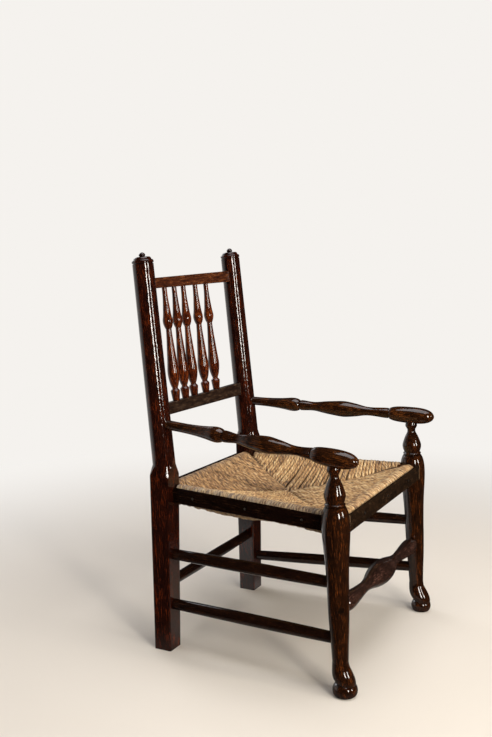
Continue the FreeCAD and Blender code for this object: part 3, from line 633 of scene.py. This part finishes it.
@dataclass
class RushSeat:
    """The rush wound over the four seat rails, with seams where the sides meet. In mm."""

    back_y: float = 164.3
    front_y: float = -174.3
    side_x_at_back: float = 142.2
    side_x_at_front: float = 177.8
    post_corner: tuple[float, float] = (128.8, 137.4)
    leg_corner: tuple[float, float] = (160.6, -148.2)
    middle: tuple[float, float] = (-4.0, -3.0)
    high_corner: float = 266.5
    low_corner: float = 261.5
    cord_height: float = 4.8
    crest_height: float = 3.2
    # Cords fill this much of their share of the rail, with these differences from cord to cord
    fullness: float = 0.99
    width_spread: float = 0.03
    place_spread: float = 0.04
    lean_spread: float = 1.2
    lift_spread: float = 0.5
    sag_spread: float = 0.10
    rub_spread: tuple[float, float] = (0.35, 1.0)
    lobe_share: float = 0.05
    sway: float = 0.35
    sway_runs: tuple[float, float] = (7.0, 14.0)
    twist_length: float = 24.0
    step: float = 2.6
    sides_round: int = 8
    # How cords end in a seam: how far short of it, and how far toward the packing
    top_end: Line = ((0.5, 6.0), (4.0, 1.2))
    bottom_end: Line = ((4.0, 1.0), (0.5, 6.0))
    shortest: float = 14.0
    # Over the rails the cords are pressed flat, within this much of the rim and fading over that
    rail_reach: float = 26.0
    rail_fade: float = 12.0
    # Height of the cords' centre line above or below the frame, by share of the way to the rim
    top_line: Line = ((0.00, -10.0), (0.30, -7.4), (0.55, -1.6), (0.74, 4.6), (0.86, 9.2))
    bottom_line: Line = ((0.85, -21.0), (0.72, -27.8), (0.55, -31.6), (0.30, -33.4), (0.00, -33.8))
    top_rim: tuple[float, float] = (0.90, 12.0)
    bottom_rim: tuple[float, float] = (0.90, -17.6)
    # Centre line round the rail, by distance in from the rim
    wrap_line: Line = ((17.0, 13.0), (10.5, 14.0), (5.2, 12.6), (2.5, 8.0), (2.2, 0.0),
                       (2.6, -8.6), (5.6, -13.6), (12.0, -15.4), (18.5, -17.2))
    # The wrap ends this far before the seam, and a cord's own lift starts this far in
    wrap_end: float = 6.0
    lift_start: float = 4.0
    # The dished lines begin this far in, and end this far before the seam
    dish_start: float = 20.0
    dish_end: float = 7.0
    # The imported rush, by corner, and by share of the way to the corners and height
    packed_corners: Line = ((-126, 138), (126, 138), (153, -150), (-153, -150))
    packed_line: Line = ((0.05, -13.5), (0.35, -11.0), (0.65, -4.0), (0.90, 5.0), (1.0, 8.0),
                         (1.0, -14.0), (0.90, -19.0), (0.65, -27.0), (0.35, -29.5), (0.05, -30.0))
    rng: random.Random = field(default_factory=lambda: random.Random(11))

    @property
    def frame_height(self) -> float:
        """The seat frame's height at the rim, halfway between its high and low corners."""
        return (self.high_corner + self.low_corner) / 2

    @property
    def middle_height(self) -> float:
        """The seat frame's height at the middle: the mean of one high and three low corners."""
        return (self.high_corner + 3 * self.low_corner) / 4

    def corner(self, side: int, end: str, across: float, y: float) -> Vector:
        """A point of the rim at the seat frame's height. The right back corner is the high one."""
        height = self.high_corner if side < 0 and end == "back" else self.low_corner
        return Vector((side * across, y, height))

    def panels(self) -> list[Panel]:
        """Lay out the four sides.

        Returns:
            The back, front, right and left panel.
        """
        back, front = ([self.corner(side, end, across, y) for side in (-1, 1)]
                       for end, across, y in (("back", self.side_x_at_back, self.back_y),
                                              ("front", self.side_x_at_front, self.front_y)))
        turned, other = Twist.CLOCKWISE, Twist.ANTICLOCKWISE
        return [
            Panel("back", *back, 13.6, 270.8, -3.0, 3.0, 47, other, 0.45, -0.5),
            Panel("front", *front, 22.0, 333.6, -4.0, 4.0, 57, turned, 0.25, 0.1),
            Panel("right", back[0], front[0], 27.2, 307.0, 3.0, -13.0, 51, other, 1.0, 0.2),
            Panel("left", back[1], front[1], 27.2, 307.0, -3.0, 13.0, 51, turned, 0.6, 0.0),
        ]

    def seams(self) -> list[tuple[Vector, Vector]]:
        """The four seams, each from the seat's middle to a corner between uprights, in plan."""
        return [(Vector(self.middle), Vector((side * x, y)))
                for side in (-1, 1) for x, y in (self.post_corner, self.leg_corner)]

    def reach(self, origin: Vector, inward: Vector) -> float:
        """How far a cord runs in plan before it meets a seam.

        Args:
            origin: Its place on the rim.
            inward: The way it runs.

        Returns:
            The distance.
        """
        far = origin + inward * 400
        hits = [geometry.intersect_line_line_2d(origin, far, *seam) for seam in self.seams()]
        return min((hit - origin).length for hit in hits if hit)

    def course(self, panel: Panel, share: float) -> Course:
        """Find the way of one cord.

        Args:
            panel: The side it belongs to.
            share: Its place along the panel, from 0 to 1.

        Returns:
            Its course.
        """
        rim = panel.end - panel.start
        level = Vector((rim.x, rim.y, 0)).normalized()
        along = panel.first + (panel.last - panel.first) * share
        foot = panel.start + rim * (along / rim.length)
        lean = (panel.lean_start + (panel.lean_end - panel.lean_start) * share
                + self.rng.uniform(-self.lean_spread, self.lean_spread))
        to_middle = Vector((*self.middle, 0)) - foot
        inward = Vector((-level.y, level.x, 0))
        if inward.dot(to_middle) < 0:
            inward = -inward
        inward.rotate(Euler((0, 0, math.radians(lean))))
        return Course(foot, inward, level, self.reach(foot.xy, inward.xy),
                      abs(to_middle.cross(level).z), self.middle_height)

    def cord_line(self, course: Course, wave: float) -> list[Vector]:
        """The centre line of a cord: out of the seam on top, round the rail and in below.

        Args:
            course: The way the cord takes.
            wave: Its place in the panel's slow wave of sags, in radians.

        Returns:
            The line's points.
        """
        lift = self.rng.uniform(-self.lift_spread, self.lift_spread)
        sag = 1.0 + self.sag_spread * self.rng.random() + self.sag_spread * math.sin(wave)

        def dished(line: Line, scale: float) -> list[Vector]:
            """The points of a dished line that lie between the rail and the seam."""
            places = [((1 - share) * course.to_middle / course.gain, rise * scale + lift)
                      for share, rise in line]
            return [course.point(*place) for place in places
                    if self.dish_start < place[0] < course.run - self.dish_end]

        inner = max(course.run, self.shortest)
        top = course.rise_at(self.top_line + (self.top_rim,), inner)
        bottom = course.rise_at(self.bottom_line + (self.bottom_rim,), inner) * sag
        wrapped = [course.point(distance, rise + (lift if distance > self.lift_start else 0))
                   for distance, rise in self.wrap_line if distance < inner - self.wrap_end]
        return [
            *(course.point(inner - short, top - dive) for short, dive in self.top_end),
            *dished(self.top_line, 1.0), *wrapped, *dished(self.bottom_line, sag),
            *(course.point(inner - short, bottom + dive) for short, dive in self.bottom_end),
        ]

    def smooth(self, line: list[Vector]) -> list[Vector]:
        """Run a smooth curve through points.

        Args:
            line: The points to pass.

        Returns:
            The curve, with a point for each step of its length.
        """
        last = len(line) - 1
        slopes = [(line[min(i + 1, last)] - line[max(i - 1, 0)]) / 2 for i in range(last + 1)]
        curve = []
        for i in range(last):
            reach = (line[i + 1] - line[i]).length
            here = slopes[i].normalized() * reach / 3
            there = slopes[i + 1].normalized() * reach / 3
            count = max(2, round(reach / self.step) + 1)
            curve += geometry.interpolate_bezier(line[i], line[i] + here, line[i + 1] - there,
                                                 line[i + 1], count)[:-1]
        return curve + [line[-1]]

    def add_cord(self, bm: BMesh, curve: list[Vector], level: Vector, width: float,
                 number: int) -> float:
        """Wind one twisted cord along a curve.

        Args:
            bm: The panel's mesh.
            curve: The cord's centre line.
            level: The direction across the cord, along the rail.
            width: Its width.
            number: Its number in the panel.

        Returns:
            The cord's length.
        """
        points = np.array(curve)
        tangents = np.gradient(points, axis=0)
        tangents /= np.linalg.norm(tangents, axis=1)[:, None]
        across = np.array(level) - tangents * (tangents @ np.array(level))[:, None]
        across /= np.linalg.norm(across, axis=1)[:, None]
        outward = np.cross(across, tangents)
        # A sixth of the way along, the cord is still on top of the seat, where outward is up
        if outward[len(points) // 6][2] < 0:
            outward = -outward
        steps = np.linalg.norm(np.diff(points, axis=0), axis=1)
        run = np.concatenate(([0.0], np.cumsum(steps)))
        round_it = np.arange(self.sides_round + 1) / self.sides_round * math.tau - math.pi / 2
        twist = run / self.twist_length * math.tau + self.rng.uniform(0, math.tau)
        lobes = 1 + self.lobe_share * np.cos(2 * (round_it[None, :] - twist[:, None]))
        height = (self.cord_height
                  + (self.crest_height - self.cord_height) * self.over_rail(points))
        sway = self.sway * np.sin(run / self.rng.uniform(*self.sway_runs)
                                  + self.rng.uniform(0, math.tau))
        centre = points + across * sway[:, None]
        sideways = (np.cos(round_it) * lobes)[:, :, None] * width / 2
        upward = (np.sin(round_it) * lobes)[:, :, None] * height[:, None, None] / 2
        vertices = lay_grid(bm, centre[:, None, :] + across[:, None, :] * sideways
                            + outward[:, None, :] * upward)
        cord_layer = bm.verts.layers.float["cord"]
        for vertex in vertices:
            vertex[cord_layer] = number
        return float(run[-1])

    def over_rail(self, points: np.ndarray) -> np.ndarray:
        """How nearly each point lies over or under a rail.

        Args:
            points: Points in mm, one to a row.

        Returns:
            For each point, 1 near the rim and 0 well inside it.
        """
        slope = (self.side_x_at_front - self.side_x_at_back) / (self.back_y - self.front_y)
        from_back = self.back_y - points[:, 1]
        from_side = self.side_x_at_back + slope * from_back - np.abs(points[:, 0])
        inset = np.minimum(np.minimum(from_back, points[:, 1] - self.front_y), from_side)
        return np.clip((self.rail_reach - inset) / self.rail_fade, 0.0, 1.0)

    def build_panel(self, panel: Panel, material: Material) -> Object:
        """Wind one side of the seat.

        Args:
            panel: The side.
            material: The rush.

        Returns:
            The panel's object.
        """
        bm = bmesh.new()
        bm.loops.layers.uv.new(UV_MAP)
        bm.verts.layers.float.new("cord")
        width = (panel.last - panel.first) / panel.cords * self.fullness
        lengths = []
        for number in range(panel.cords):
            stray = self.rng.uniform(-self.place_spread, self.place_spread)
            share = (number + 0.5 + stray) / panel.cords
            course = self.course(panel, share)
            # Sags come and go in a slow wave, which starts elsewhere in each panel
            curve = self.smooth(self.cord_line(course, 9 * share + len(panel.name)))
            spread = self.rng.uniform(1 - self.width_spread, 1 + self.width_spread)
            lengths.append(self.add_cord(bm, curve, course.level, width * spread, number))
        close_up(bm)
        piece = new_piece(bm, "rush_" + panel.name)
        self.write_weave(piece.data, lengths, panel)
        piece.data.shade_smooth()
        put_on(piece, material)
        return piece

    def write_weave(self, mesh: Mesh, lengths: list[float], panel: Panel) -> None:
        """Write the cords' UV map in metres, and the weave attribute: tone, rubbed, below.

        Args:
            mesh: The panel's mesh.
            lengths: The cords' lengths in mm.
            panel: The side they belong to.
        """
        count = len(mesh.vertices)
        place = np.empty(count * 3, np.float32)
        mesh.vertices.foreach_get("co", place)
        place = place.reshape(-1, 3) / MM
        cord = np.empty(count, np.float32)
        mesh.attributes["cord"].data.foreach_get("value", cord)
        cord = cord.round().astype(int)
        tones = np.array([panel.tone + self.rng.random() for _ in lengths])
        rubbing = np.array([self.rng.uniform(*self.rub_spread) for _ in lengths])
        on_rail = self.over_rail(place)
        # Wear grows over the first 6 mm above the frame, and dust with painted shade over 8 mm from
        # 4 mm below it; near the rails the painted shade is deeper
        above = np.clip((place[:, 2] - self.frame_height) / 6.0, 0.0, 1.0)
        under = np.clip((self.frame_height - 4.0 - place[:, 2]) / 8.0, 0.0, 1.0)
        rubbed = on_rail * above * rubbing[cord] * panel.rubbed
        below = under * (0.6 + 0.4 * on_rail)
        weave = mesh.attributes.new("weave", "FLOAT_VECTOR", "POINT")
        values = np.stack([tones[cord], rubbed, below], 1).astype(np.float32)
        weave.data.foreach_set("vector", values.ravel())
        corners = np.empty(len(mesh.loops), np.int32)
        mesh.loops.foreach_get("vertex_index", corners)
        uv = np.empty(len(mesh.loops) * 2, np.float32)
        layer = mesh.uv_layers[UV_MAP]
        layer.uv.foreach_get("vector", uv)
        uv = uv.reshape(-1, 2)
        # Each cord starts at its own place in the pattern, so that no two match
        starts = np.array([self.rng.uniform(0, 5) for _ in lengths])
        uv[:, 0] = uv[:, 0] * np.array(lengths)[cord[corners]] * MM + starts[cord[corners]]
        uv[:, 1] *= panel.twist.value * math.pi * self.cord_height * MM
        layer.uv.foreach_set("vector", uv.ravel())
        mesh.attributes.remove(mesh.attributes["cord"])

    def build_packing(self, material: Material) -> Object:
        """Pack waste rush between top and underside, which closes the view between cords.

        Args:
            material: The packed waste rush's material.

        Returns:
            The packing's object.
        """
        corners = np.array(self.packed_corners + self.packed_corners[:1])
        centre = np.array(self.middle)
        rings = np.array([
            [(*(centre + (corner - centre) * share), self.middle_height + rise)
             for corner in corners] for share, rise in self.packed_line])
        bm = bmesh.new()
        lay_grid(bm, rings)
        close_up(bm)
        piece = new_piece(bm, "rush_stuffing")
        put_on(piece, material)
        return piece

    def build(self) -> None:
        """Make the whole seat and put it in place of its plain solid."""
        rush = TwistedRush().make()
        pieces = [self.build_panel(panel, rush) for panel in self.panels()]
        pieces.append(self.build_packing(Matter.WASTE_RUSH.value.make()))
        for piece in pieces:
            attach(piece, BODY)
            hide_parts(RUSH_NODE)
            log.info("%s: %d faces", piece.name, len(piece.data.polygons))


@dataclass
class Joinery:
    """The wooden pieces and the nails, which keep their own shape and get their finish here."""

    # By how a node's name starts
    finishes: dict[str, Finish] = field(default_factory=lambda: {
        "back_post": Finish.POST, "back_spindle": Finish.SPINDLE,
        "top_back_rail": Finish.TOP_RAIL, "lower_back_rail": Finish.LOWER_RAIL,
        "arm": Finish.ARM, "front_leg": Finish.LEG, "side_stretcher": Finish.STRETCHER,
        "back_stretcher": Finish.STRETCHER, "front_stretcher": Finish.FRONT_STRETCHER,
        "seat_rail": Finish.HIDDEN, "edging_front": Finish.FRONT_EDGING,
        "edging": Finish.EDGING, "leg_plug": Finish.PLUG})

    def finish_of(self, node: str) -> Finish:
        """The finish for a node, by the start of its name."""
        return next(finish for start, finish in self.finishes.items() if node.startswith(start))

    def dress(self) -> None:
        """Dress every wooden node and the nails."""
        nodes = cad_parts
        put_on(nodes[NAILS_NODE], Matter.IRON.value.make())
        wooden = sorted(name for name in nodes if name not in (NAILS_NODE, RUSH_NODE))
        for seed, name in enumerate(wooden, start=1):
            finish = self.finish_of(name)
            finish.value.dress(nodes[name], Grain.of(nodes[name]), seed)
            log.info("%s: %s", name, finish.value.name)


@dataclass(frozen=True)
class Lamp:
    """A rectangular lamp that faces the chair and isn't seen itself. In metres and watts."""

    name: str
    place: Point
    size: tuple[float, float]
    watts: float
    colour: str = "#fffaf2"
    mirrored: bool = True

    def build(self, target: Vector) -> None:
        """Hang the lamp.

        Args:
            target: The point it faces.
        """
        data = bpy.data.lights.new(self.name, "AREA")
        data.shape = "RECTANGLE"
        data.size, data.size_y = self.size
        data.energy = self.watts
        data.color = linear(self.colour)[:3]
        lamp = bpy.data.objects.new(self.name, data)
        lamp.location = self.place
        lamp.rotation_euler = (target - Vector(self.place)).to_track_quat("-Z", "Y").to_euler()
        lamp.visible_camera = False
        lamp.visible_glossy = self.mirrored
        bpy.context.scene.collection.objects.link(lamp)


@dataclass
class Studio:
    """Plain pale floor and room, soft light and the photograph's camera. In metres and degrees."""

    eye: Point = (-1.39614, -0.68072, 0.68232)
    azimuth: float = -61.52
    elevation: float = 7.99
    roll: float = -1.46
    focal_pixels: float = 928.96
    long_side_pixels: float = 737.0
    sensor: float = 36.0
    floor_colour: str = "#e3dacd"
    floor_radius: float = 12.0
    backdrop: str = "#f5f2ee"
    ambient: tuple[str, float] = ("#f6f3ee", 0.10)
    # The side of the room that polished wood mirrors as a bright wall, how squarely a direction
    # has to face it for its edge and its full light, and the light outside and inside it
    wall_side: Point = (0.14, 0.99, 0.0)
    wall_ends: tuple[float, float] = (0.55, 0.9)
    wall_levels: tuple[float, float] = (0.02, 0.95)
    # Distances over which the lit floor gives way to the backdrop, as seen and as mirrored
    floor_ends: tuple[float, float] = (0.45, 1.5)
    mirrored_ends: tuple[float, float] = (0.05, 0.35)
    aim: Point = (0, 0, 0.33)
    # Two narrow windows give the posts their double streak and the turnings their double spots
    lamps: tuple[Lamp, ...] = (
        Lamp("window_near", (-1.30, -1.70, 0.76), (0.24, 0.74), 23.0),
        Lamp("window_far", (-0.15, -2.2, 0.76), (0.20, 0.74), 15.0),
        Lamp("fill", (-0.8, -2.1, 1.3), (1.2, 1.2), 27.0, mirrored=False),
        Lamp("behind", (0.9, 2.0, 1.6), (1.3, 1.3), 16.0, "#f6f8ff"),
        Lamp("ceiling", (-0.1, -0.4, 2.6), (2.0, 2.0), 46.0, "#fbfbff"))

    def build_camera(self) -> None:
        """Put the camera where the photograph was taken from."""
        azimuth, elevation, roll = (math.radians(value) for value in (
            self.azimuth, self.elevation, self.roll))
        forward = Vector((-math.sin(azimuth) * math.cos(elevation),
                          math.cos(azimuth) * math.cos(elevation), -math.sin(elevation)))
        right = forward.cross(Vector((0, 0, 1))).normalized()
        up = right.cross(forward)
        turned_right = right * math.cos(roll) + up * math.sin(roll)
        turned_up = up * math.cos(roll) - right * math.sin(roll)
        data = bpy.data.cameras.new("camera")
        data.sensor_width = self.sensor
        data.lens = self.focal_pixels / self.long_side_pixels * self.sensor
        data.clip_start = 0.05
        camera = bpy.data.objects.new("camera", data)
        turn = Matrix((turned_right, turned_up, -forward)).transposed()
        camera.matrix_world = Matrix.Translation(self.eye) @ turn.to_4x4()
        bpy.context.scene.collection.objects.link(camera)
        bpy.context.scene.camera = camera

    def wall_light(self, tree: NodeTree, outward: NodeSocket) -> NodeSocket:
        """How bright the room is in a direction: bright behind the chair, dark opposite.

        Args:
            tree: The nodes of the world or the floor.
            outward: The direction away from the chair.

        Returns:
            The brightness.
        """
        facing = add_node(tree, "VectorMath", {"operation": "DOT_PRODUCT", 1: self.wall_side},
                          {0: outward}).outputs["Value"]
        return add_node(tree, "MapRange", {
            "interpolation_type": "SMOOTHSTEP",
            "From Min": self.wall_ends[0], "From Max": self.wall_ends[1],
            "To Min": self.wall_levels[0], "To Max": self.wall_levels[1]},
            {"Value": facing}).outputs["Result"]

    def seen_clearly(self, tree: NodeTree, path: bpy_prop_collection) -> NodeSocket:
        """Pick out the rays that see the room straight or through something clear.

        Args:
            tree: The nodes of the world or the floor.
            path: The outputs of its Light Path node.

        Returns:
            1 for these rays, else 0.
        """
        return add_node(tree, "Math", {"operation": "MAXIMUM"}, {
            0: path["Is Camera Ray"], 1: path["Is Transmission Ray"]}).outputs["Value"]

    def build_world(self) -> None:
        """Light a pale room, of which polished wood mirrors only the bright wall."""
        world = bpy.data.worlds.new("pale_room")
        world.use_nodes = True
        tree = world.node_tree
        tree.nodes.clear()
        path = add_node(tree, "LightPath").outputs
        wall = self.wall_light(tree, add_node(tree, "TexCoord").outputs["Generated"])
        colour, strength = self.ambient
        lit = add_node(tree, "Background", {"Color": linear(colour), "Strength": strength})
        mirrored = add_node(tree, "Background", {"Color": linear(self.backdrop)},
                            {"Strength": wall})
        seen = add_node(tree, "Background", {"Color": linear(self.backdrop), "Strength": 1.0})
        glossy = add_node(tree, "MixShader", links={
            0: path["Is Glossy Ray"], 1: lit.outputs[0], 2: mirrored.outputs[0]})
        mixed = add_node(tree, "MixShader", links={
            0: self.seen_clearly(tree, path), 1: glossy.outputs[0], 2: seen.outputs[0]})
        add_node(tree, "OutputWorld", links={"Surface": mixed.outputs[0]})
        bpy.context.scene.world = world

    def floor_material(self) -> Material:
        """A matt pale finish, which fades into the room with distance.

        Returns:
            The new material.
        """
        material, tree, output = new_material("plain_floor")
        path = add_node(tree, "LightPath").outputs
        place = add_node(tree, "TexCoord").outputs["Object"]
        outward = add_node(tree, "VectorMath", {"operation": "NORMALIZE"},
                           {0: place}).outputs["Vector"]
        shown = self.seen_clearly(tree, path)
        seen = add_node(tree, "Math", {"operation": "MAXIMUM"}, {
            0: shown, 1: path["Is Glossy Ray"]}).outputs["Value"]
        brightness = add_node(tree, "Math", {"operation": "MAXIMUM"}, {
            0: shown, 1: self.wall_light(tree, outward)}).outputs["Value"]
        lit = add_node(tree, "BsdfPrincipled", {
            "Base Color": linear(self.floor_colour), "Roughness": 0.9})
        far = add_node(tree, "Emission", {"Color": linear(self.backdrop)},
                       {"Strength": brightness})
        distance = add_node(tree, "VectorMath", {"operation": "LENGTH"},
                            {0: place}).outputs["Value"]
        as_seen, as_mirrored = (
            add_node(tree, "MapRange", {
                "interpolation_type": "SMOOTHSTEP", "From Min": near, "From Max": far_off},
                {"Value": distance}).outputs["Result"]
            for near, far_off in (self.floor_ends, self.mirrored_ends))
        fade = add_node(tree, "Mix", links={
            0: path["Is Glossy Ray"], 2: as_seen, 3: as_mirrored}).outputs[0]
        faded = add_node(tree, "Math", {"operation": "MULTIPLY"},
                         {0: fade, 1: seen}).outputs["Value"]
        mixed = add_node(tree, "MixShader", links={
            0: faded, 1: lit.outputs["BSDF"], 2: far.outputs["Emission"]})
        tree.links.new(mixed.outputs[0], output.inputs["Surface"])
        return material

    def build_floor(self) -> None:
        """Lay a wide floor under the chair."""
        bm = bmesh.new()
        bmesh.ops.create_circle(bm, cap_ends=True, segments=96, radius=self.floor_radius)
        floor = new_piece(bm, "floor")
        put_on(floor, self.floor_material())

    def build(self) -> None:
        """Set up the camera, the light and the floor."""
        self.build_camera()
        self.build_world()
        self.build_floor()
        for lamp in self.lamps:
            lamp.build(Vector(self.aim))
        log.info("studio: camera, room, floor and %d lamps", len(self.lamps))


def main() -> None:
    """Build the chair's looks in order."""
    logging.basicConfig(level=logging.INFO, format="%(name)s: %(message)s")
    bpy.context.scene.view_settings.view_transform = "Standard"
    Studio().build()
    Joinery().dress()
    RushSeat().build()


if __name__ == "__main__":
    main()
